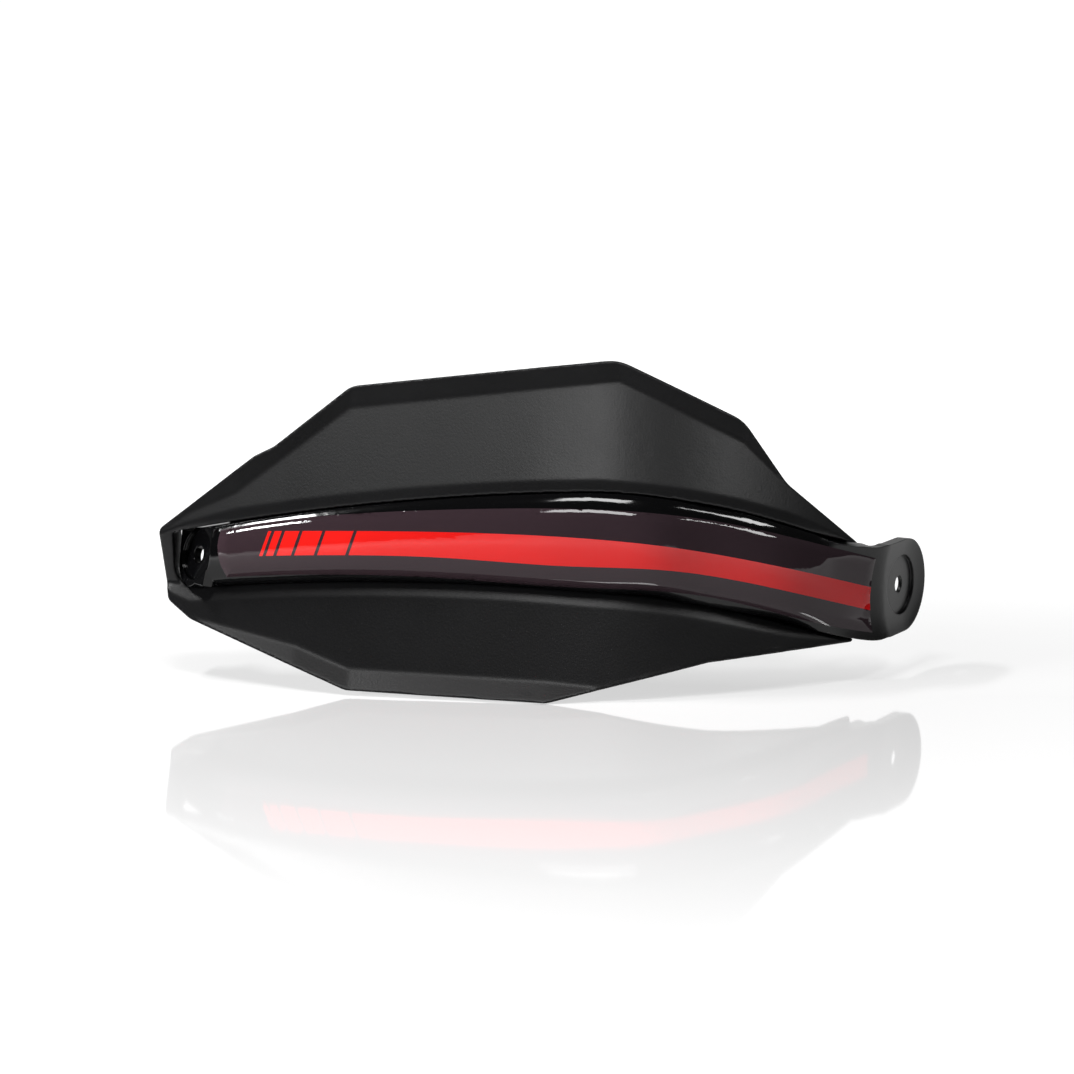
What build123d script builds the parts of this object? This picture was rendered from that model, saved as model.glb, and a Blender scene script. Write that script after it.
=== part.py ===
"""Motorcycle hand guard: a matte moulded shield on a gloss spine, with a striped label.

Millimetres. X runs outboard along the guard, Y to the rider, Z up.
The origin is the bar-end bolt hole, where it opens on the back of the lug.
"""
import os
from math import ceil, cos, radians, sin, sqrt, tan

from build123d import *

os.makedirs("parts", exist_ok=True)

# Plan of the lip line: a straight inner run, a wide arc, a tight bend and the lug
INNER_RUN = 147.8      # from the inner end of the channel to the start of the arc
INNER_SWEEP = 11.0     # the run comes forward by this angle on its way outboard
ARC_RADIUS = 205.0
ARM_HEADING = 25.0     # the arc turns back to this heading
BEND_RADIUS = 14.0
LUG_HEADING = 60.0     # the lug stands at this heading
LUG_REACH = 13.5       # from the end of the bend to the bolt hole

# Lengths and ends that follow from the plan
ARC = ARC_RADIUS * radians(INNER_SWEEP + ARM_HEADING)
BEND = BEND_RADIUS * radians(LUG_HEADING - ARM_HEADING)
INNER_END = -INNER_RUN * cos(radians(INNER_SWEEP))
ARM_END = ARC_RADIUS * (sin(radians(INNER_SWEEP)) + sin(radians(ARM_HEADING)))

# Band: the height of its centre line above the bar-end bolt, and its half height
ARCH_X = 10.0          # the centre line is highest here, outboard of the start of the arc
ARCH_RISE = 23.0
INNER_DROP = 13.1      # fall from the arch to the inner end
ARM_LEVEL = 7.8        # length before the arm's end where the fall to the lug is over
HALF_INNER = 11.3      # half height of the channel at the inner end
HALF_OUTER = 19.6
HALF_FULL_X = 20.0     # the channel has its full height from here outboard
ARM_LENGTH = 50.0      # the band narrows to the lug over this length

# Walls and seams
WALL = 3.0
SEAT_DEPTH = 7.0       # channel floor, behind the lips
SEAM = 0.4             # gap above and below the spine in its channel
END_GAP = 1.8          # gap at the inner end of the spine
END_WALL = 14.0        # back of the wall at the inner end of the channel, behind the lips
WINDOW = 21.8          # inner length of the channel that is open at the back for the tab
CHANNEL_ROUND = 8.0    # lower inner corner of the channel
LIP = 5.5              # width of the soft edge beside the channel
LIP_DROP = 2.2

# Wings
UPPER_LEAN = 36.0      # the upper wing leans back
LOWER_FLARE = 27.0     # the lower wing comes forward at the bottom
RIM_TURN = 24.0        # the rim turns out of the wing by this angle
OVER = 1.8             # the wings are made this much too large and trimmed to the outline
VIEW_RISE = 10.5       # the outline is drawn square to a front view from this far above

# Front outline: corners as (outboard, above the band's centre line)
LEFT_TOP, LEFT_LOW = (INNER_END - 5.4, 13.4), (INNER_END - 1.9, -14.5)
JOG_IN, JOG_OUT = (INNER_END + 32.1, 37.6), (INNER_END + 39.6, 40.5)
TOP_LEFT, TOP_RIGHT = (INNER_END + 69.6, 62.0), (ARM_END - 97.3, 71.3)
KNEE, NECK = (ARM_END - 49.3, 55.2), (ARM_END - 32.8, 35.1)
TIP_TOP, TIP_LOW = (ARM_END - 3.8, 18.5), (ARM_END - 6.8, -18.3)
LOW_EASE, LOW_RIGHT = (ARM_END - 63.8, -40.3), (ARM_END - 125.3, -61.0)
LOW_LEFT, HEEL = (INNER_END + 68.7, -55.4), (INNER_END + 7.1, -23.2)
SHARP, SOFT, WIDE = 3.0, 9.0, 16.0   # corner radii

# Width of the turned rim along the upper and the lower edge
RIM_THIN, RIM_NONE = 0.8, 0.4
TOP_RIM_FULL, TOP_RIM = INNER_END + 25.0, 8.4
LOW_RIM_FULL, LOW_RIM = INNER_END + 48.6, 8.0
LOW_RIM_END = LOW_RIGHT[0] + 20.5
SECTION_STEP = 24.0    # longest distance between two sections of the shield

# Spine
CROWN = 4.5            # the face stands this far in front of the lips
EDGE_BACK = 3.5        # its rolled edges end this far behind them
TRIM = 0.6             # cut off the rolled edges where they meet the seam
FLANGE = 3.0           # edges of the arm, in front of the lips
SCOOP = 3.0            # depth of the hollow between them
SCOOP_LENGTH = 32.0    # the hollow deepens over this length of the arm
RUN_STEPS, ARC_STEPS, BEND_STEPS = 5, 5, 2   # sections along each stretch of the lip line

# Bar-end lug
LUG_RADIUS = 18.3
LUG_BACK = 2.0         # back face of the bend and the lug, behind the lip line
POCKET_D = 23.5
POCKET_DEPTH = 3.4     # from the rim of the lug
BOLT_D = 6.6

# Inner tab
TAB_INSET = 9.4        # bolt hole, outboard of the inner end
TAB_RISE = 1.5         # and above the band's centre line
TAB_BEHIND = 2.0       # its face passes this far behind the lip line there
TAB_TURN = 43.0        # it turns back from the band
TAB_TILT = 14.0        # and looks up
TAB_T = 4.5
TAB_TALL = 23.0
TAB_IN, TAB_OUT = 17.0, 9.0   # from the bolt hole to its inner and outer ends
TAB_BOLT_D = 7.0
RECESS_D = 20.0
RECESS_DEPTH = 1.2
TAB_SPOT_D = 16.0      # flat behind the tab, for the clamp it is bolted to

# Label and stripe: edges as (outboard, above the centre line of the face) in the front view
LABEL_T = 1.0
LABEL_TOP = [
    (INNER_END + 19.8, 10.9), (INNER_END + 51.0, 12.4), (-40.0, 12.9), (8.0, 13.6),
    (ARM_END - 61.0, 14.8), (ARM_END - 28.0, 15.7), (ARM_END + 1.9, 14.0),
]
LABEL_LOW = [
    (ARM_END + 0.9, -14.6), (ARM_END - 28.0, -14.8), (ARM_END - 61.0, -14.4),
    (8.0, -16.2), (-40.0, -13.2), (INNER_END + 50.6, -9.4), (INNER_END + 22.1, -7.8),
]
LABEL_BULGE = 2.3      # the inner end of the label is rounded by this much
LABEL_WAIST = 1.5      # and the outer end is drawn in by this much
STRIPE_TOP = [
    (INNER_END + 38.5, 8.4), (-70.8, 5.9), (-17.1, 3.6), (7.6, 2.8), (ARM_END - 78.5, 2.1),
    (ARM_END - 28.2, 3.6), (ARM_END + 1.0, 2.7),
]
STRIPE_LOW = [
    (ARM_END + 1.0, -6.2), (ARM_END - 28.2, -5.2), (ARM_END - 78.5, -6.8), (7.6, -8.2),
    (-40.1, -5.3), (-75.6, -3.1), (INNER_END + 34.9, -0.9),
]
BLOCKS = [1.3, 2.8, 5.6, 7.6, 10.9]   # widths of the slanted blocks at the inner end
BLOCK_GAP = 1.3
BLOCK_LEAN = 20.0      # the gaps lean outboard

# Screws that hold the spine from behind
SCREW_COUNT = 4
SCREW_INNER = 50.0     # first screw, from the inner end of the channel
SCREW_OUTER = 42.8     # last screw, from the end of the arc
SCREW_D = 4.0
SCREW_GRIP = 6.0
SCREW_HEAD_D = 8.0
SCREW_HEAD_T = 2.6
SCREW_PLAY = 0.2       # round the shank in the shield
SPOT_PLAY = 0.5        # round the head
SPOT_DEPTH = 0.4       # flat cut under each head

# Reach of the cutting bodies past the part
PAST = 60.0


def path(s):
    """Point and heading on the lip line, a distance s outboard of the start of the arc."""
    sweep, arm, lug = radians(INNER_SWEEP), radians(ARM_HEADING), radians(LUG_HEADING)
    if s < 0:
        return s * cos(sweep), -s * sin(sweep), -sweep
    heading = min(s / ARC_RADIUS - sweep, arm)
    x = ARC_RADIUS * (sin(heading) + sin(sweep))
    y = ARC_RADIUS * (cos(sweep) - cos(heading))
    if s > ARC:
        heading = min(arm + (s - ARC) / BEND_RADIUS, lug)
        x += BEND_RADIUS * (sin(heading) - sin(arm))
        y += BEND_RADIUS * (cos(arm) - cos(heading))
    if s > ARC + BEND:
        x += (s - ARC - BEND) * cos(lug)
        y += (s - ARC - BEND) * sin(lug)
    return x, y, heading


def lip_depth(x):
    """Depth of the lip line at an outboard position on the run or the arc."""
    sweep = radians(INNER_SWEEP)
    if x < 0:
        return -x * tan(sweep)
    across = x - ARC_RADIUS * sin(sweep)
    return ARC_RADIUS * cos(sweep) - sqrt(ARC_RADIUS**2 - across**2)


def ramp(x, start, end):
    """0 before start, 1 after end."""
    return min(max((x - start) / (end - start), 0.0), 1.0)


def mid_height(x):
    """Height of the band's centre line."""
    if x < ARCH_X:
        return ARCH_RISE - INNER_DROP * ((x - ARCH_X) / (INNER_END - ARCH_X)) ** 2
    return ARCH_RISE * (1 - ramp(x, ARCH_X, ARM_END - ARM_LEVEL) ** 2)


def half_height(x):
    """Half the height of the channel."""
    if x < HALF_FULL_X:
        return HALF_OUTER - (HALF_OUTER - HALF_INNER) * (HALF_FULL_X - x) / (HALF_FULL_X - INNER_END)
    return HALF_OUTER + (LUG_RADIUS + SEAM - HALF_OUTER) * ramp(x, ARM_END - ARM_LENGTH, ARM_END)


def hollow_share(x):
    """0 on the crowned band, 1 on the hollow arm."""
    along = ramp(x, ARM_END - SCOOP_LENGTH, ARM_END)
    return along**2 * (3 - 2 * along)


def between(points, x):
    """Value at x on a run of straight pieces."""
    for (x0, v0), (x1, v1) in zip(points, points[1:]):
        if x <= x1 or (x1, v1) == points[-1]:
            return v0 + (v1 - v0) * (x - x0) / (x1 - x0)


def corner(x, rise, front=0.0):
    """Point of the front view, above the band's centre line, on a face in front of the lips."""
    return x, mid_height(x) * cos(VIEW) + (lip_depth(x) - front) * sin(VIEW) + rise


def slanted(view, y, z, slope):
    """Height where a line through (y, z) shows at the given height in the front view."""
    return (view - (y - slope * z) * sin(VIEW)) / (cos(VIEW) + slope * sin(VIEW))


def moved(x, y, z):
    """The same point counted from the bar-end bolt hole."""
    return Vector(x, y, z) - BOLT_POINT


def cross_plane(x):
    """Plane across the guard; sketches on it run (to the rider, up)."""
    return Plane(origin=moved(x, 0, 0), x_dir=(0, 1, 0), z_dir=(1, 0, 0))


def path_plane(s):
    """Plane square to the lip line; sketches on it run (inward, up)."""
    x, y, a = path(s)
    return Plane(origin=moved(x, y, 0), x_dir=(-sin(a), cos(a), 0), z_dir=(cos(a), sin(a), 0))


def bore_plane(s, height):
    """Plane on the lip line that looks inward, for screws and holes."""
    x, y, a = path(s)
    return Plane(origin=moved(x, y, height), x_dir=(cos(a), sin(a), 0), z_dir=(-sin(a), cos(a), 0))


def wing_section(x):
    """Closed section of the shield before the channel is cut, from the front bottom upward."""
    y = lip_depth(x)
    lean, flare = tan(radians(UPPER_LEAN)), tan(radians(LOWER_FLARE))
    lean_rim, flare_rim = tan(radians(UPPER_LEAN - RIM_TURN)), tan(radians(LOWER_FLARE + RIM_TURN))
    back_up, back_low = WALL * sqrt(1 + lean**2), WALL * sqrt(1 + flare**2)
    up, low = mid_height(x) + half_height(x), mid_height(x) - half_height(x)
    wall_back = y + SEAT_DEPTH + WALL / 2

    top_view, low_view = between(TOP_EDGE, x), between(LOW_EDGE, x)
    top_fold = slanted(top_view - between(TOP_RIM_LINE, x), y, up, lean)
    low_fold = slanted(low_view + between(LOW_RIM_LINE, x), y, low, flare)
    top_fold_y, low_fold_y = y + (top_fold - up) * lean, y + (low_fold - low) * flare
    top = slanted(top_view + OVER, top_fold_y, top_fold, lean_rim)
    bottom = slanted(low_view - OVER, low_fold_y, low_fold, flare_rim)
    top_y = top_fold_y + (top - top_fold) * lean_rim
    bottom_y = low_fold_y + (bottom - low_fold) * flare_rim

    up_in, low_in = min(up - 1, top_fold - 2), max(low + 1, low_fold + 2)
    up_lip = up_in + min(LIP, (top_fold - up_in) / 2)
    low_lip = low_in - min(LIP, (low_in - low_fold) / 2)
    up_lip_y, low_lip_y = y + (up_lip - up) * lean, y + (low_lip - low) * flare
    return [
        (bottom_y, bottom),
        (low_fold_y, low_fold),
        (low_lip_y, low_lip),
        (y + (low_in - low) * flare + LIP_DROP, low_in),
        (y + (up_in - up) * lean + LIP_DROP, up_in),
        (up_lip_y, up_lip),
        (top_fold_y, top_fold),
        (top_y, top),
        (top_y + back_up, top),
        (top_fold_y + back_up, top_fold),
        (up_lip_y + back_up, up_lip),
        (wall_back, min(up + SEAM + WALL, up_lip - 0.3)),
        (wall_back, max(low - SEAM - WALL, low_lip + 0.3)),
        (low_lip_y + back_low, low_lip),
        (low_fold_y + back_low, low_fold),
        (bottom_y + back_low, bottom),
    ]


def face_points(s):
    """Control points of the spine's face across the band, from its lower to its upper edge."""
    x = path(s)[0]
    half, share = half_height(x) + TRIM - SEAM, hollow_share(x)
    points = []
    for (t0, front0), (t1, front1) in zip(CROWNED, HOLLOW):
        t, front = t0 + (t1 - t0) * share, front0 + (front1 - front0) * share
        points.append((-front, mid_height(x) + half * t))
    return points


def seat_line(depth):
    """Draws the run and the arc of the lip line, moved inward, and gives their free ends."""
    arc = CenterArc(ARC_CENTRE, ARC_RADIUS - depth, -90 - INNER_SWEEP, INNER_SWEEP + ARM_HEADING)
    run = PolarLine(arc @ 0, INNER_RUN + PAST, 180 - INNER_SWEEP)
    return run @ 1, arc @ 1


def band_block(stations, front, back, gap):
    """Block that fills the channel from front to back of the lips, less a gap all round."""
    with BuildPart() as block:
        for s in stations:
            x = path(s)[0]
            with BuildSketch(path_plane(s)):
                with Locations(((front + back) / 2, mid_height(x))):
                    Rectangle(back - front, 2 * (half_height(x) - gap))
        loft()
        inner_end = block.faces().sort_by(Axis.X)[0]
        fillet(inner_end.edges().sort_by(Axis.Z)[0], CHANNEL_ROUND - gap)
    return block.part


# Face sections of the spine: control points as (part of the half height, in front of the lips)
CROWNED = [
    (-1.0, -EDGE_BACK), (-1.0, 0.9 * CROWN), (-0.45, 1.27 * CROWN),
    (0.4, 1.27 * CROWN), (0.86, 0.6 * CROWN), (1.0, -EDGE_BACK),
]
HOLLOW = [
    (-1.0, FLANGE), (-0.8, FLANGE - 0.5 * SCOOP), (-0.5, FLANGE - 1.35 * SCOOP),
    (0.5, FLANGE - 1.35 * SCOOP), (0.8, FLANGE - 0.5 * SCOOP), (1.0, FLANGE),
]

# Places that follow from the sizes
VIEW = radians(VIEW_RISE)
BOLT_S = ARC + BEND + LUG_REACH
bolt_x, bolt_y, lug_a = path(BOLT_S)
BOLT_POINT = Vector(bolt_x - LUG_BACK * sin(lug_a), bolt_y + LUG_BACK * cos(lug_a), 0)
arm_x, arm_y, arm_a = path(ARC)
ARC_CENTRE = (ARC_RADIUS * sin(radians(INNER_SWEEP)), ARC_RADIUS * cos(radians(INNER_SWEEP)))
BEND_CENTRE = (arm_x - BEND_RADIUS * sin(arm_a), arm_y + BEND_RADIUS * cos(arm_a))
BELOW = Plane(origin=moved(0, 0, -2 * PAST))
ABOVE = 4 * PAST
FRONT = Plane(origin=moved(0, 0, 0), x_dir=(1, 0, 0), z_dir=(0, -cos(VIEW), sin(VIEW)))
LUG_FACE = bore_plane(BOLT_S, 0).offset(-FLANGE)
LUG_T = FLANGE + LUG_BACK
BOLT_AXIS = Axis(LUG_FACE.origin, LUG_FACE.z_dir)

tab_x = INNER_END + TAB_INSET
tab_a, tab_up = radians(INNER_SWEEP + TAB_TURN), radians(TAB_TILT)
TAB = Plane(
    origin=moved(tab_x, lip_depth(tab_x) + TAB_BEHIND, mid_height(tab_x) + TAB_RISE),
    x_dir=(-cos(tab_a), sin(tab_a), 0),
    z_dir=(-sin(tab_a) * cos(tab_up), -cos(tab_a) * cos(tab_up), sin(tab_up)),
)

TOP_EDGE = [corner(*p) for p in (LEFT_TOP, TOP_LEFT, TOP_RIGHT, KNEE, NECK, TIP_TOP)]
LOW_EDGE = [corner(*p) for p in (LEFT_LOW, HEEL, LOW_LEFT, LOW_RIGHT, LOW_EASE, TIP_LOW)]
SHIELD_LEFT = LEFT_TOP[0] - OVER
TOP_RIM_LINE = [
    (SHIELD_LEFT, RIM_THIN), (HEEL[0], 3 * RIM_THIN), (TOP_RIM_FULL, TOP_RIM),
    (KNEE[0], TOP_RIM), (NECK[0], RIM_THIN), (TIP_TOP[0], RIM_NONE),
]
LOW_RIM_LINE = [
    (SHIELD_LEFT, RIM_THIN), (HEEL[0], RIM_THIN), (LOW_RIM_FULL, LOW_RIM),
    (LOW_RIGHT[0], LOW_RIM), (LOW_RIM_END, RIM_THIN), (TIP_TOP[0], RIM_NONE),
]
FOLDS = [
    SHIELD_LEFT, HEEL[0], TOP_RIM_FULL, LOW_RIM_FULL, TOP_LEFT[0], LOW_RIGHT[0],
    LOW_RIM_END, TOP_RIGHT[0], KNEE[0], NECK[0], TIP_TOP[0],
]

RUN_STATIONS = [-(INNER_RUN - END_GAP) * (1 - k / RUN_STEPS) for k in range(RUN_STEPS)]
ARC_STATIONS = [ARC * k / ARC_STEPS for k in range(ARC_STEPS + 1)]
BEND_STATIONS = [ARC + BEND * (k + 1) / BEND_STEPS for k in range(BEND_STEPS)]
SPINE_STATIONS = RUN_STATIONS + ARC_STATIONS + BEND_STATIONS
SCREW_FIRST, SCREW_LAST = SCREW_INNER - INNER_RUN, ARC - SCREW_OUTER
SCREWS = [
    SCREW_FIRST + (SCREW_LAST - SCREW_FIRST) * k / (SCREW_COUNT - 1) for k in range(SCREW_COUNT)
]
SCREW_SEATS = [bore_plane(s, mid_height(path(s)[0])) for s in SCREWS]

# Space behind the seat that shield and spine share
with BuildPart() as behind_seat:
    with BuildSketch(BELOW):
        with BuildLine():
            run_end, arc_end = seat_line(SEAT_DEPTH)
            bend = CenterArc(
                BEND_CENTRE, BEND_RADIUS - LUG_BACK, ARM_HEADING - 90, LUG_HEADING - ARM_HEADING
            )
            Line(arc_end, bend @ 0)
            lug = PolarLine(bend @ 1, LUG_REACH + PAST, LUG_HEADING)
            Polyline(lug @ 1, (run_end.X, (lug @ 1).Y), run_end)
        make_face()
    extrude(amount=ABOVE)

# Channel for the spine, right through the shield
through = SEAT_DEPTH + WALL + OVER
channel = band_block([-INNER_RUN] + SPINE_STATIONS[1:], -PAST / 2, through, 0)
room = band_block([SEAM - INNER_RUN] + SPINE_STATIONS[1:], -PAST / 2, through, SEAM)
room_for_tab = band_block([SEAM - INNER_RUN] + RUN_STATIONS[1:2], -PAST / 2, PAST, SEAM)

# Floor of the channel, from the window of the inner tab to the outer tip
with BuildPart() as floor:
    for s in [WINDOW - INNER_RUN] + SPINE_STATIONS[1:]:
        x = path(s)[0]
        with BuildSketch(path_plane(s)):
            with Locations((SEAT_DEPTH, mid_height(x))):
                Rectangle(4 * WALL, 2 * half_height(x) + WALL)
    loft()
    with BuildSketch(BELOW):
        with BuildLine():
            front_end, front_tip = seat_line(SEAT_DEPTH)
            back_end, back_tip = seat_line(SEAT_DEPTH + WALL)
            Line(front_end, back_end)
            Line(front_tip, back_tip)
        make_face()
    extrude(amount=ABOVE, mode=Mode.INTERSECT)

# Wings: lofted lengths between the folds
lengths = []
for start, end in zip(FOLDS, FOLDS[1:]):
    steps = ceil((end - start) / SECTION_STEP)
    with BuildPart() as length:
        for k in range(steps + 1):
            x = start + (end - start) * k / steps
            with BuildSketch(cross_plane(x)):
                with BuildLine():
                    Polyline(*wing_section(x), close=True)
                make_face()
        loft()
    lengths.append(length.part)

# Shield: the wings and the channel, trimmed to the outline
OUTLINE = [
    (LEFT_TOP, SHARP), (JOG_IN, SOFT), (JOG_OUT, SOFT), (TOP_LEFT, SOFT), (TOP_RIGHT, WIDE),
    (KNEE, WIDE), (NECK, WIDE), (TIP_TOP, 0), (TIP_LOW, 0), (LOW_EASE, 0), (LOW_RIGHT, SHARP),
    (LOW_LEFT, SHARP), (HEEL, SOFT), (LEFT_LOW, SHARP),
]
with BuildPart() as shield:
    add(lengths)
    add(channel, mode=Mode.SUBTRACT)
    add(floor.part)
    with BuildSketch(path_plane(-INNER_RUN)):
        with Locations(((SEAT_DEPTH + END_WALL) / 2, mid_height(INNER_END))):
            Rectangle(END_WALL - SEAT_DEPTH, 2 * HALF_INNER)
    extrude(amount=-WALL)
    with BuildSketch(FRONT) as outline:
        with BuildLine():
            Polyline(*[corner(*place) for place, radius in OUTLINE], close=True)
        make_face()
        for place, radius in OUTLINE:
            if radius:
                fillet(outline.vertices().sort_by_distance(corner(*place))[0], radius)
    extrude(amount=ABOVE, both=True, mode=Mode.INTERSECT)
    for seat in SCREW_SEATS:
        with BuildSketch(seat.offset(SEAT_DEPTH + WALL - SPOT_DEPTH)):
            Circle(SCREW_HEAD_D / 2 + SPOT_PLAY)
        extrude(amount=PAST, mode=Mode.SUBTRACT)
        with BuildSketch(seat):
            Circle(SCREW_D / 2 + SCREW_PLAY)
        extrude(amount=PAST, mode=Mode.SUBTRACT)
shield.part.label = "shield"
export_step(shield.part, "parts/shield.step")

# Inner tab, trimmed to the channel
with BuildPart() as tab:
    with BuildSketch(TAB):
        with Locations(((TAB_IN - TAB_OUT) / 2, 0)):
            Rectangle(TAB_IN + TAB_OUT, TAB_TALL)
    extrude(amount=-TAB_T)
    add(room_for_tab, mode=Mode.INTERSECT)

# Spine: a lofted bar on the seat, the inner tab and the bar-end lug
with BuildPart() as spine:
    for s in SPINE_STATIONS:
        with BuildSketch(path_plane(s)):
            with BuildLine():
                face = Bezier(*face_points(s))
                back = SEAT_DEPTH + WALL
                Polyline(face @ 1, (back, (face @ 1).Y), (back, (face @ 0).Y), face @ 0)
            make_face()
    loft()
    add(behind_seat.part, mode=Mode.SUBTRACT)
    add(room, mode=Mode.INTERSECT)
    with BuildSketch(LUG_FACE):
        Circle(LUG_RADIUS)
        with Locations((-LUG_REACH / 2, 0)):
            Rectangle(LUG_REACH, 2 * LUG_RADIUS)
        with Locations((-LUG_REACH - LUG_RADIUS, 0)):
            Rectangle(2 * LUG_RADIUS, 2 * LUG_RADIUS, mode=Mode.SUBTRACT)
    extrude(amount=LUG_T)
    with BuildSketch(path_plane(BOLT_S)) as hollow:
        with BuildLine():
            face = Bezier(*face_points(BOLT_S))
            Line(face @ 1, face @ 0)
        make_face()
    extrude(amount=-LUG_REACH, mode=Mode.SUBTRACT)
    with BuildSketch(path_plane(BOLT_S)):
        add(hollow.sketch_local)
        with Locations((0, PAST / 2)):
            Rectangle(PAST, PAST, mode=Mode.INTERSECT)
    revolve(axis=BOLT_AXIS, revolution_arc=180, mode=Mode.SUBTRACT)
    with BuildSketch(TAB):
        Rectangle(PAST, PAST)
    extrude(amount=PAST, mode=Mode.SUBTRACT)
    add(tab.part)
    with BuildSketch(TAB):
        Circle(RECESS_D / 2)
    extrude(amount=-RECESS_DEPTH, mode=Mode.SUBTRACT)
    with BuildSketch(TAB.offset(-TAB_T)):
        Circle(TAB_SPOT_D / 2)
    extrude(amount=-PAST, mode=Mode.SUBTRACT)
    with BuildSketch(TAB):
        Circle(TAB_BOLT_D / 2)
    extrude(amount=-PAST, mode=Mode.SUBTRACT)
    with BuildSketch(LUG_FACE):
        Circle(POCKET_D / 2)
    extrude(amount=POCKET_DEPTH, mode=Mode.SUBTRACT)
    with BuildSketch(LUG_FACE):
        Circle(BOLT_D / 2)
    extrude(amount=PAST, mode=Mode.SUBTRACT)
    for seat in SCREW_SEATS:
        with BuildSketch(seat.offset(SEAT_DEPTH - SCREW_GRIP)):
            Circle(SCREW_D / 2)
        extrude(amount=PAST, mode=Mode.SUBTRACT)
spine.part.label = "spine"
export_step(spine.part, "parts/spine.step")

# Sheet of the label: it lies on the face of the spine and is cut to its outline
spine_face = spine.faces().filter_by(GeomType.BSPLINE).sort_by(SortBy.AREA)[-1]
with BuildPart() as sheet:
    extrude(spine_face, amount=LABEL_T, dir=FRONT.z_dir)
    with BuildSketch(FRONT):
        with BuildLine():
            top = Spline(*[corner(*p, front=CROWN) for p in LABEL_TOP])
            low = Spline(*[corner(*p, front=CROWN) for p in LABEL_LOW])
            inner, outer = ((top @ 0) + (low @ 1)) / 2, ((top @ 1) + (low @ 0)) / 2
            ThreePointArc(low @ 1, inner - Vector(LABEL_BULGE, 0), top @ 0)
            ThreePointArc(top @ 1, outer - Vector(LABEL_WAIST, 0), low @ 0)
        make_face()
    extrude(amount=ABOVE, both=True, mode=Mode.INTERSECT)

# Stripe: a long bar with slanted blocks before it, set flush in the label
with BuildPart() as stripe_cut:
    with BuildSketch(FRONT):
        with BuildLine():
            top = Spline(*[corner(*p, front=CROWN) for p in STRIPE_TOP])
            low = Spline(*[corner(*p, front=CROWN) for p in STRIPE_LOW])
            Line(top @ 1, low @ 0)
            Line(low @ 1, top @ 0)
        make_face()
        foot = low @ 1
        for k, width in enumerate(BLOCKS):
            gap_x = foot.X + sum(BLOCKS[: k + 1]) + BLOCK_GAP * (k + 0.5)
            with Locations(Location((gap_x, foot.Y), -BLOCK_LEAN)):
                Rectangle(BLOCK_GAP * cos(radians(BLOCK_LEAN)), PAST, mode=Mode.SUBTRACT)
    extrude(amount=ABOVE, both=True)
with BuildPart() as label:
    add(sheet.part)
    add(stripe_cut.part, mode=Mode.SUBTRACT)
label.part.label = "label"
export_step(label.part, "parts/label.step")
with BuildPart() as stripe:
    add(sheet.part)
    add(stripe_cut.part, mode=Mode.INTERSECT)
stripe.part.label = "stripe"
export_step(stripe.part, "parts/stripe.step")

# Screws: pan heads on the back of the channel floor
with BuildPart() as fixing_screws:
    for seat in SCREW_SEATS:
        with BuildSketch(seat.offset(SEAT_DEPTH + WALL - SPOT_DEPTH)):
            Circle(SCREW_HEAD_D / 2)
        extrude(amount=SCREW_HEAD_T)
        with BuildSketch(seat.offset(SEAT_DEPTH - SCREW_GRIP)):
            Circle(SCREW_D / 2)
        extrude(amount=SCREW_GRIP + WALL - SPOT_DEPTH)
fixing_screws.part.label = "fixing_screws"
export_step(fixing_screws.part, "parts/fixing_screws.step")
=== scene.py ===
"""Motorcycle hand guard: finishes, soft edges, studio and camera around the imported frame. Metres."""
from math import ceil, cos, radians, sin, tan

import bmesh
import bpy
import numpy as np
from mathutils import Matrix, Vector
from mathutils.bvhtree import BVHTree
from mathutils.interpolate import poly_3d_calc
from mathutils.kdtree import KDTree


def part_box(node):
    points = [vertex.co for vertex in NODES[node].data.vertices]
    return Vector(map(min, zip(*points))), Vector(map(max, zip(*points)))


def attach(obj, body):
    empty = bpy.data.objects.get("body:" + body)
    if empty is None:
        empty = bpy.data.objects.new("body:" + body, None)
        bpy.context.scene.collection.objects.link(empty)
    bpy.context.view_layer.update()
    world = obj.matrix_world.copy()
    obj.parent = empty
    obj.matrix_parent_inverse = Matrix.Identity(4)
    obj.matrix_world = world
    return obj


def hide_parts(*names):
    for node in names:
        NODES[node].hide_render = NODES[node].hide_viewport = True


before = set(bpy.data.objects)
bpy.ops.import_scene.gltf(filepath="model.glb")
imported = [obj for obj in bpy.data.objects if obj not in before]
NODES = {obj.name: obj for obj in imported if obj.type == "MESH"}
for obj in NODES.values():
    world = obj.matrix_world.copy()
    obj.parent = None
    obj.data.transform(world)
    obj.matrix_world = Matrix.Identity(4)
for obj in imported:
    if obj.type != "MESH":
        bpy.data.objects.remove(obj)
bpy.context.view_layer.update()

MM = 0.001
SHIELD_LOW, SHIELD_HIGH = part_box("shield")
LABEL_LOW, LABEL_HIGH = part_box("label")

# Camera: the photograph looks down on the guard a little, from far away
VIEW_RISE = radians(10.5)
VIEW_DISTANCE = 1.3
VIEW_ANGLE = radians(17.72)
AIM = Vector((-0.1400, -0.0444, 0.0268))
VIEW = Vector((0.0, -cos(VIEW_RISE), sin(VIEW_RISE)))

# Soft edges of the moulded shield: a fine even skin, smoothed and then thinned out
SHIELD_VOXEL = 0.5 * MM
SMOOTHING_PASSES = 20
SMOOTHING_SHARE = 0.5
SKIN_KEPT = 0.28

# Wings: lean of each face, and how far along the guard its line is evened out
UPPER_LEAN = tan(radians(36.0))
LOWER_FLARE = tan(radians(27.0))
LEAN_PLAY = 0.08       # a face within this of a wing's lean belongs to that wing
EVEN_REACH = 18 * MM
PROBE_STEP = 1 * MM
PROBE_FROM = 1.0       # the probes start this far in front of the shield

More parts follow.
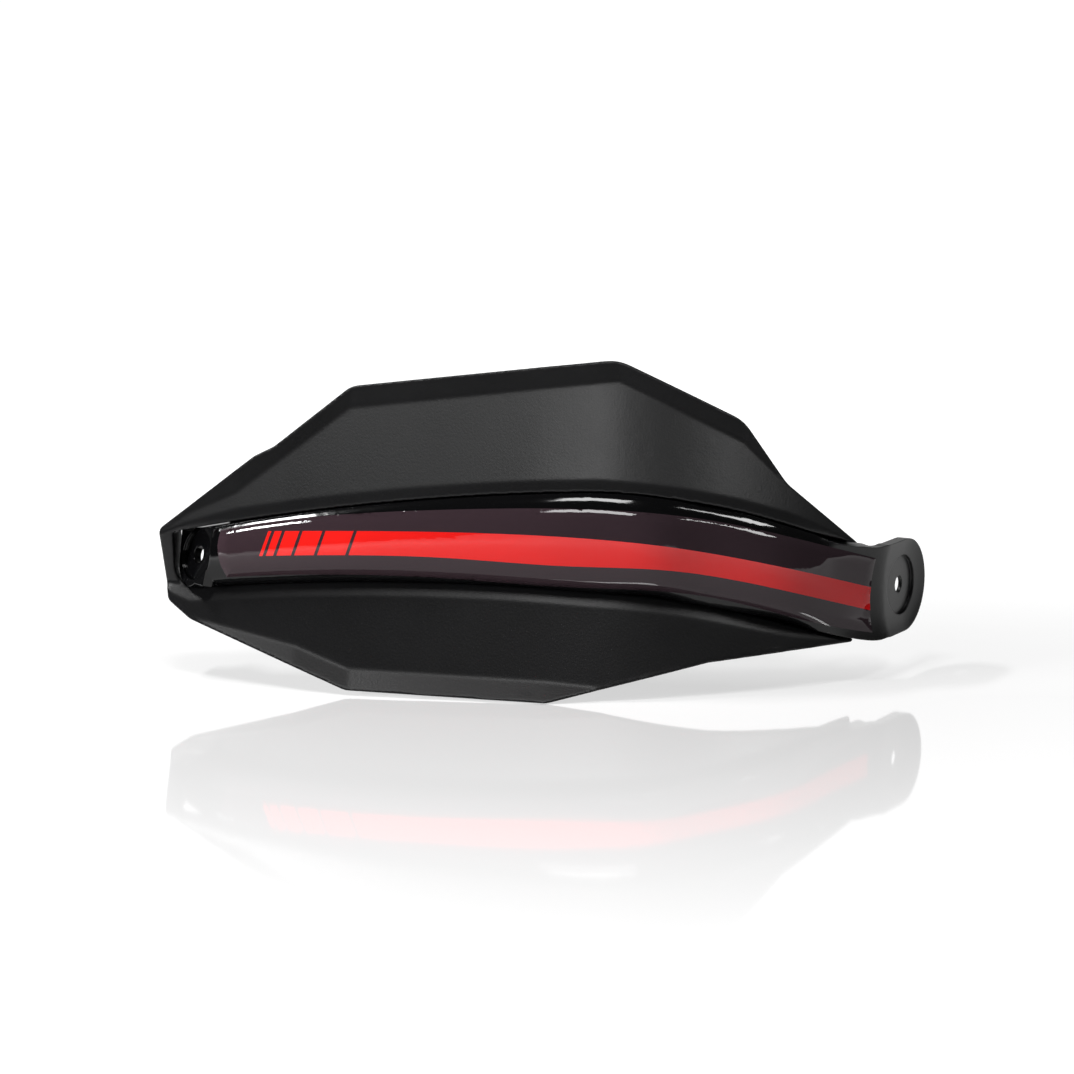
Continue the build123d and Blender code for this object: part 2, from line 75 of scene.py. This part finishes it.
# Domed label: its face rolls down over this width, by this angle at the edge
ROLL = 4.4 * MM
ROLL_TURN = radians(23.0)
ROLL_DEPTH = tan(ROLL_TURN) / 2 * ROLL
ROLL_STEP = 0.8 * MM   # longer edges on the roll are halved, this many times at most
ROLL_PASSES = 4
RIM_STEP = 0.1 * MM
RIM_APART = 0.2 * MM   # an edge this far from the piece set into the label is an outer one
FACES_FRONT = 0.3      # part of a normal that points to the front, on a face of the label
WELD = 0.001 * MM
NUDGE = 0.01           # share of the way to a face's middle at which its normal is read

# Lug: where along the guard its satin finish begins and is full, in the frame's x
LUG_FROM = -34 * MM
LUG_FULL = -24 * MM

# Screws: a hexagon socket of this size across its corners and this deep in each head
SOCKET_CORNERS = 3.46 * MM
SOCKET_DEPTH = 1.2 * MM
SOCKET_SIDES = 6
HEADS_APART = 15 * MM  # faces farther apart than this along the guard are on two heads
FACES_BACK = 0.8       # part of a normal that points back, on the end face of a head
SHARP = radians(35.0)

# Floor: how its glow grows to white with the distance, and how its polish fades to the front and back
FLOOR_SIZE = 60.0
GLOW_FROM, GLOW_FULL = 0.1, 0.7
GLOW_NEAR = 0.48
POLISH = 0.42
POLISH_FRONT = 0.62
POLISH_BACK = 0.35

# World: dim all round, with a white wall behind the guard
ROOM_LEVEL = 0.05
WALL_EDGE = (0.5, 0.85)
WALL_TOP = (0.7, 0.3)

# Lamps
SOFTBOXES = {
    # name: (place, width and depth, power in watts)
    "softbox_left": ((-0.66, 0.05, 0.90), (0.26, 0.07), 3.4),
    "softbox_middle": ((-0.25, -0.42, 0.95), (0.28, 0.22), 2.6),
    "softbox_right": ((0.45, -0.30, 0.90), (0.24, 0.16), 1.6),
    "key_left": ((-1.27, -0.47, 0.13), (0.50, 0.50), 20.0),
}
COLOUR_LAMP = "key_left"   # lights the colours and leaves no mirror image on gloss or floor


def linear(code):
    """Linear colour of an sRGB hex value."""
    parts = [int(code[k:k + 2], 16) / 255 for k in (1, 3, 5)]
    return (*[c / 12.92 if c <= 0.04045 else ((c + 0.055) / 1.055) ** 2.4 for c in parts], 1.0)


def put(tree, kind, inputs=None, **settings):
    """Adds a shader node with its settings; an input is a value or a socket to link."""
    made = tree.nodes.new("ShaderNode" + kind)
    for name, value in settings.items():
        setattr(made, name, value)
    for key, value in (inputs or {}).items():
        if isinstance(value, bpy.types.NodeSocket):
            tree.links.new(value, made.inputs[key])
        else:
            made.inputs[key].default_value = value
    return made


def new_finish(name):
    """Empty material and its node tree."""
    finish = bpy.data.materials.new(name)
    finish.use_nodes = True
    finish.node_tree.nodes.clear()
    return finish, finish.node_tree


def grained_polypropylene():
    """Black polypropylene from a spark-eroded mould: a dull sheen broken up by a fine grain."""
    finish, tree = new_finish("grained_polypropylene")
    place = put(tree, "TexCoord").outputs["Object"]
    cloud = put(tree, "TexNoise", {"Vector": place, "Scale": 1 / (35 * MM), "Detail": 2.0})
    # The real grain is about 0.15 mm wide; it is drawn at 0.9 mm, so that it shows
    grain = put(tree, "TexNoise", {"Vector": place, "Scale": 1 / (0.9 * MM), "Detail": 3.0})
    colour = put(tree, "ValToRGB", {"Fac": cloud.outputs["Fac"]})
    colour.color_ramp.elements[0].color = linear("#0d0d0e")
    colour.color_ramp.elements[1].color = linear("#131314")
    rough = put(tree, "MapRange", {"Value": cloud.outputs["Fac"], "To Min": 0.36, "To Max": 0.44})
    bump = put(
        tree, "Bump", {"Strength": 0.6, "Distance": 0.08 * MM, "Height": grain.outputs["Fac"]}
    )
    skin = put(tree, "BsdfPrincipled", {
        "Base Color": colour.outputs["Color"], "Roughness": rough.outputs["Result"],
        "IOR": 1.43, "Normal": bump.outputs["Normal"],
    })
    put(tree, "OutputMaterial", {"Surface": skin.outputs["BSDF"]})
    return finish


def gloss_abs():
    """Black ABS from a polished mould: deep black, sharp reflections, soft edges, and a satin lug."""
    finish, tree = new_finish("gloss_abs")
    place = put(tree, "TexCoord").outputs["Object"]
    wave = put(tree, "TexNoise", {"Vector": place, "Scale": 1 / (9 * MM), "Detail": 1.0})
    haze = put(tree, "TexNoise", {"Vector": place, "Scale": 1 / (22 * MM), "Detail": 3.0})
    shine = put(tree, "MapRange", {"Value": haze.outputs["Fac"], "To Min": 0.05, "To Max": 0.10})
    satin = put(tree, "MapRange", {
        "Value": put(tree, "SeparateXYZ", {"Vector": place}).outputs["X"],
        "From Min": LUG_FROM, "From Max": LUG_FULL, "To Max": 0.34,
    })
    rough = put(tree, "Math", {0: shine.outputs["Result"], 1: satin.outputs["Result"]}, operation="ADD")
    edge = put(tree, "Bevel", {"Radius": 0.6 * MM}, samples=8)
    bump = put(tree, "Bump", {
        "Strength": 0.08, "Distance": 0.05 * MM, "Height": wave.outputs["Fac"],
        "Normal": edge.outputs["Normal"],
    })
    skin = put(tree, "BsdfPrincipled", {
        "Base Color": linear("#070708"), "Roughness": rough.outputs[0],
        "IOR": 1.52, "Normal": bump.outputs["Normal"],
    })
    put(tree, "OutputMaterial", {"Surface": skin.outputs["BSDF"]})
    return finish


def domed_vinyl(name, inner, outer):
    """Printed vinyl under clear polyurethane: an even print colour under a wet gloss, with painted shade
    that darkens it outboard, where less lamp light falls.
    """
    finish, tree = new_finish(name)
    place = put(tree, "TexCoord").outputs["Object"]
    along = put(tree, "SeparateXYZ", {"Vector": place})
    share = put(tree, "MapRange", {
        "Value": along.outputs["X"], "From Min": LABEL_LOW.x, "From Max": LABEL_HIGH.x,
    })
    # Painted shade: the colour runs from the inboard value to a darker outboard one, standing in for light
    # that falls off away from the lamp at the left
    colour = put(tree, "ValToRGB", {"Fac": share.outputs["Result"]})
    colour.color_ramp.elements[0].color = linear(inner)
    colour.color_ramp.elements[1].color = linear(outer)
    # Print dots are about 0.1 mm wide; they are drawn at 0.6 mm, so that they show
    speck = put(tree, "TexNoise", {"Vector": place, "Scale": 1 / (0.6 * MM), "Detail": 2.0})
    rough = put(tree, "MapRange", {"Value": speck.outputs["Fac"], "To Min": 0.30, "To Max": 0.42})
    skin = put(tree, "BsdfPrincipled", {
        "Base Color": colour.outputs["Color"], "Roughness": rough.outputs["Result"],
        "Specular IOR Level": 0.0, "Coat Weight": 1.0, "Coat Roughness": 0.03, "Coat IOR": 1.45,
    })
    put(tree, "OutputMaterial", {"Surface": skin.outputs["BSDF"]})
    return finish


def zinc_plate():
    """Zinc-plated steel: pale grey metal with a slightly uneven shine."""
    finish, tree = new_finish("zinc_plate")
    place = put(tree, "TexCoord").outputs["Object"]
    # Marks of the plating are about 0.1 mm wide; they are drawn at 0.4 mm, so that they show
    marks = put(tree, "TexNoise", {"Vector": place, "Scale": 1 / (0.4 * MM), "Detail": 3.0})
    rough = put(tree, "MapRange", {"Value": marks.outputs["Fac"], "To Min": 0.25, "To Max": 0.45})
    skin = put(tree, "BsdfPrincipled", {
        "Base Color": linear("#b9bcc0"), "Metallic": 1.0, "Roughness": rough.outputs["Result"],
    })
    put(tree, "OutputMaterial", {"Surface": skin.outputs["BSDF"]})
    return finish


def floor_finish():
    """White acrylic sheet: bright, with a faint reflection of what stands on it."""
    finish, tree = new_finish("white_acrylic_floor")
    light = put(tree, "LightPath")
    seen = put(tree, "Math", {
        0: light.outputs["Is Camera Ray"], 1: light.outputs["Is Glossy Ray"],
    }, operation="MAXIMUM")
    seen = put(tree, "Math", {
        0: seen.outputs[0], 1: light.outputs["Is Transmission Ray"],
    }, operation="MAXIMUM")
    place = put(tree, "NewGeometry").outputs["Position"]
    away = put(tree, "VectorMath", {0: place, 1: AIM}, operation="DISTANCE").outputs["Value"]
    glow = put(tree, "MapRange", {
        "Value": away, "From Min": GLOW_FROM, "From Max": GLOW_FULL, "To Min": GLOW_NEAR, "To Max": 1.0,
    }, interpolation_type="SMOOTHSTEP")
    shine = put(tree, "Math", {0: seen.outputs[0], 1: glow.outputs["Result"]}, operation="MULTIPLY")
    glow_skin = put(tree, "Emission", {"Strength": shine.outputs[0]})
    chalk = put(tree, "BsdfDiffuse", {"Color": linear("#e6e6e6")})
    white = put(tree, "AddShader", {0: chalk.outputs[0], 1: glow_skin.outputs[0]})
    mirror = put(tree, "BsdfGlossy", {"Color": linear("#ffffff"), "Roughness": 0.05})
    depth = put(tree, "SeparateXYZ", {"Vector": place}).outputs["Y"]
    fade = put(tree, "MapRange", {
        "Value": depth, "From Min": AIM.y - POLISH_FRONT, "From Max": AIM.y, "To Max": POLISH,
    })
    ebb = put(tree, "MapRange", {
        "Value": depth, "From Min": AIM.y + POLISH_BACK, "From Max": AIM.y,
    })
    polish = put(tree, "Math", {0: fade.outputs[0], 1: ebb.outputs[0]}, operation="MULTIPLY")
    skin = put(tree, "MixShader", {0: polish.outputs[0], 1: white.outputs[0], 2: mirror.outputs[0]})
    put(tree, "OutputMaterial", {"Surface": skin.outputs[0]})
    return finish


def solid_skin(node):
    """Search tree of a solid's triangles, in the order of its mesh's own list."""
    mesh = NODES[node].data
    mesh.calc_loop_triangles()
    return BVHTree.FromPolygons(
        [vertex.co for vertex in mesh.vertices], [tuple(t.vertices) for t in mesh.loop_triangles]
    )


def welded(node):
    """A solid's mesh with its faces joined along their edges."""
    shape = bmesh.new()
    shape.from_mesh(NODES[node].data)
    bmesh.ops.remove_doubles(shape, verts=shape.verts, dist=WELD)
    shape.normal_update()
    return shape


def wing_line(skin, lean, xs, zs):
    """Along a wing: the depth that its face would have at height 0, and the heights it covers."""
    found = []
    for x in xs:
        hits = []
        for z in zs:
            place, normal, *_ = skin.ray_cast(Vector((x, SHIELD_LOW.y - PROBE_FROM, z)), Vector((0, 1, 0)))
            if place and abs(normal.z / -normal.y - lean) < LEAN_PLAY:
                hits.append(place)
        if hits:
            depth = sum(hit.y - hit.z * lean for hit in hits) / len(hits)
            found.append((x, depth, hits[0].z, hits[-1].z))
    return np.array(found).T


def evened(xs, depths):
    """A line of depths, each replaced by a curve through its neighbours."""
    fair = []
    for x in xs:
        near = np.abs(xs - x) < EVEN_REACH
        fair.append(np.polyval(np.polyfit(xs[near] - x, depths[near], 2), 0.0))
    return np.array(fair)


def even_out(mesh):
    """Moves the wings by a few tenths of a millimetre, to one flowing curve along the guard."""
    skin = solid_skin("shield")
    xs = np.arange(SHIELD_LOW.x, SHIELD_HIGH.x, PROBE_STEP)
    zs = np.arange(SHIELD_LOW.z, SHIELD_HIGH.z, PROBE_STEP)
    up_x, up_depth, up_from, _ = wing_line(skin, UPPER_LEAN, xs, zs)
    low_x, low_depth, _, low_to = wing_line(skin, LOWER_FLARE, xs, zs)
    points = np.empty(len(mesh.vertices) * 3)
    mesh.vertices.foreach_get("co", points)
    points = points.reshape(-1, 3)
    x, z = points[:, 0], points[:, 2]
    up_move = np.interp(x, up_x, evened(up_x, up_depth) - up_depth, 0, 0)
    low_move = np.interp(x, low_x, evened(low_x, low_depth) - low_depth, 0, 0)
    bottom, top = np.interp(x, low_x, low_to), np.interp(x, up_x, up_from)
    share = np.clip((z - bottom) / np.maximum(top - bottom, PROBE_STEP), 0, 1)
    points[:, 1] += low_move + (up_move - low_move) * share
    mesh.vertices.foreach_set("co", points.ravel())
    mesh.update()


def shield_moulding():
    """The shield with the soft edges and folds of a moulded part."""
    mesh = NODES["shield"].data.copy()
    piece = bpy.data.objects.new("shield_moulding", mesh)
    bpy.context.scene.collection.objects.link(piece)
    remesh = piece.modifiers.new("even_skin", "REMESH")
    remesh.mode, remesh.voxel_size, remesh.use_smooth_shade = "VOXEL", SHIELD_VOXEL, True
    soften = piece.modifiers.new("soft_edges", "SMOOTH")
    soften.factor, soften.iterations = SMOOTHING_SHARE, SMOOTHING_PASSES
    thin = piece.modifiers.new("fewer_faces", "DECIMATE")
    thin.ratio = SKIN_KEPT
    shape = bpy.data.meshes.new_from_object(piece.evaluated_get(bpy.context.evaluated_depsgraph_get()))
    piece.modifiers.clear()
    piece.data = shape
    even_out(shape)
    shape.materials.clear()
    shape.materials.append(grained_polypropylene())
    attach(piece, "root")
    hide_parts("shield")
    return piece


def label_rim():
    """Search tree of points along the outer edge of the label's face."""
    points = []
    for node, neighbour in (("label", "stripe"), ("stripe", "label")):
        shape, beside = welded(node), solid_skin(neighbour)
        for edge in shape.edges:
            facing = sorted(face.normal.dot(VIEW) for face in edge.link_faces)
            ends = [vertex.co for vertex in edge.verts]
            apart = min(beside.find_nearest(end)[3] for end in ends)
            if facing[0] < FACES_FRONT < facing[-1] and apart > RIM_APART:
                steps = ceil(edge.calc_length() / RIM_STEP)
                points += [ends[0].lerp(ends[1], k / steps) for k in range(steps + 1)]
        shape.free()
    rim = KDTree(len(points))
    for k, point in enumerate(points):
        rim.insert(point, k)
    rim.balance()
    return rim


def domed_sheet(node, name, rim, finish):
    """Part of the label as a domed sheet: its face rolls down to the outer edge."""
    source, skin = NODES[node].data, solid_skin(node)
    triangles = source.loop_triangles
    shape = welded(node)
    for _ in range(ROLL_PASSES):
        split = [
            edge for edge in shape.edges if edge.calc_length() > ROLL_STEP
            and any(face.normal.dot(VIEW) > FACES_FRONT for face in edge.link_faces)
            and min(rim.find(vertex.co)[2] for vertex in edge.verts) < ROLL
        ]
        bmesh.ops.subdivide_edges(shape, edges=split, cuts=1)
        bmesh.ops.triangulate(shape, faces=shape.faces)
        shape.normal_update()

    normals, lowered = [], {}
    for face in shape.faces:
        for vertex in [loop.vert for loop in face.loops]:
            if face.normal.dot(VIEW) < FACES_FRONT:
                normals.append(face.normal.copy())
                continue
            place, _, index, _ = skin.find_nearest(vertex.co.lerp(face.calc_center_median(), NUDGE))
            triangle = triangles[index]
            shares = poly_3d_calc([source.vertices[k].co for k in triangle.vertices], place)
            normal = sum(
                (source.corner_normals[k].vector * w for k, w in zip(triangle.loops, shares)), Vector()
            ).normalized()
            edge_place, _, away = rim.find(vertex.co)
            share = max(1 - away / ROLL, 0)
            turn = ROLL_TURN * share
            out = edge_place - vertex.co
            if away < RIM_STEP:
                walls = [f.normal for f in vertex.link_faces if f.normal.dot(VIEW) < FACES_FRONT]
                out = sum(walls, Vector())
            out = (out - normal * out.dot(normal)).normalized()
            normals.append(normal * cos(turn) + out * sin(turn))
            lowered[vertex] = ROLL_DEPTH * share ** 2
    for vertex, depth in lowered.items():
        vertex.co -= VIEW * depth
    mesh = bpy.data.meshes.new(name)
    shape.to_mesh(mesh)
    shape.free()
    mesh.shade_smooth()
    mesh.normals_split_custom_set(normals)
    mesh.materials.append(finish)
    piece = bpy.data.objects.new(name, mesh)
    bpy.context.scene.collection.objects.link(piece)
    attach(piece, "root")
    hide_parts(node)
    return piece


def socket_screws():
    """The fixing screws with the hexagon sockets that a key turns them by."""
    shape = welded("fixing_screws")
    ends = sorted(
        (f.calc_center_median().x, f.calc_area(), f.calc_center_median(), f.normal.copy())
        for f in shape.faces if f.normal.y > FACES_BACK
    )
    mesh = bpy.data.meshes.new("screws")
    shape.to_mesh(mesh)
    shape.free()
    heads = [[ends[0]]]
    for end in ends[1:]:
        if end[0] - heads[-1][-1][0] > HEADS_APART:
            heads.append([])
        heads[-1].append(end)
    sockets = bmesh.new()
    radius = SOCKET_CORNERS / 2
    for head in heads:
        area = sum(end[1] for end in head)
        middle = sum((end[2] * end[1] for end in head), Vector()) / area
        axis = sum((end[3] * end[1] for end in head), Vector()).normalized()
        bmesh.ops.create_cone(
            sockets, cap_ends=True, segments=SOCKET_SIDES, radius1=radius, radius2=radius,
            depth=2 * SOCKET_DEPTH,
            matrix=Matrix.Translation(middle) @ axis.to_track_quat("Z", "Y").to_matrix().to_4x4(),
        )
    cutter_mesh = bpy.data.meshes.new("sockets")
    sockets.to_mesh(cutter_mesh)
    sockets.free()
    cutter = bpy.data.objects.new("sockets", cutter_mesh)
    piece = bpy.data.objects.new("socket_screws", mesh)
    for made in (cutter, piece):
        bpy.context.scene.collection.objects.link(made)
    cut = piece.modifiers.new("sockets", "BOOLEAN")
    cut.operation, cut.solver, cut.object = "DIFFERENCE", "EXACT", cutter
    shape = bpy.data.meshes.new_from_object(piece.evaluated_get(bpy.context.evaluated_depsgraph_get()))
    piece.modifiers.clear()
    bpy.data.objects.remove(cutter)
    piece.data = shape
    shape.shade_smooth()
    shape.set_sharp_from_angle(angle=SHARP)
    shape.materials.clear()
    shape.materials.append(zinc_plate())
    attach(piece, "root")
    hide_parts("fixing_screws")
    return piece


def dress(node, finish):
    """Gives a carried-over solid its finish."""
    mesh = NODES[node].data
    mesh.materials.clear()
    mesh.materials.append(finish)


def studio():
    """Floor, lamps and world."""
    bpy.ops.mesh.primitive_plane_add(size=FLOOR_SIZE, location=(AIM.x, AIM.y, SHIELD_LOW.z))
    floor = bpy.context.object
    floor.name = "floor"
    floor.data.materials.append(floor_finish())
    for name, (place, sides, power) in SOFTBOXES.items():
        lamp = bpy.data.lights.new(name, "AREA")
        lamp.shape, lamp.energy = "RECTANGLE", power
        lamp.size, lamp.size_y = sides
        holder = bpy.data.objects.new(name, lamp)
        holder.location = place
        holder.visible_camera = False
        holder.visible_glossy = name != COLOUR_LAMP
        holder.rotation_euler = (AIM - Vector(place)).to_track_quat("-Z", "Y").to_euler()
        bpy.context.scene.collection.objects.link(holder)
    world = bpy.data.worlds.new("studio")
    world.use_nodes = True
    tree = world.node_tree
    tree.nodes.clear()
    way = put(tree, "SeparateXYZ", {"Vector": put(tree, "TexCoord").outputs["Generated"]})
    behind = put(tree, "MapRange", {
        "Value": way.outputs["Y"], "From Min": WALL_EDGE[0], "From Max": WALL_EDGE[1],
    })
    low = put(tree, "MapRange", {
        "Value": way.outputs["Z"], "From Min": WALL_TOP[0], "From Max": WALL_TOP[1],
    })
    wall = put(tree, "Math", {0: behind.outputs[0], 1: low.outputs[0]}, operation="MULTIPLY")
    level = put(tree, "MapRange", {"Value": wall.outputs[0], "To Min": ROOM_LEVEL, "To Max": 1.0})
    sky = put(tree, "Background", {"Strength": level.outputs[0]})
    put(tree, "OutputWorld", {"Surface": sky.outputs[0]})
    bpy.context.scene.world = world


def camera():
    """The photograph's view."""
    lens = bpy.data.cameras.new("view")
    lens.sensor_width = 36.0
    lens.lens = lens.sensor_width / 2 / tan(VIEW_ANGLE / 2)
    holder = bpy.data.objects.new("view", lens)
    holder.location = AIM + VIEW * VIEW_DISTANCE
    holder.rotation_euler = (-VIEW).to_track_quat("-Z", "Y").to_euler()
    bpy.context.scene.collection.objects.link(holder)
    bpy.context.scene.camera = holder


shield_moulding()
dress("spine", gloss_abs())
# Each pair is the print colour inboard, then a darker outboard colour whose difference is painted shade
charcoal = domed_vinyl("charcoal_domed_vinyl", "#372a2f", "#34292e")
red = domed_vinyl("red_domed_vinyl", "#f4211b", "#d2161a")
rim = label_rim()
domed_sheet("label", "label_dome", rim, charcoal)
domed_sheet("stripe", "stripe_dome", rim, red)
socket_screws()
studio()
camera()
bpy.context.scene.view_settings.view_transform = "Standard"
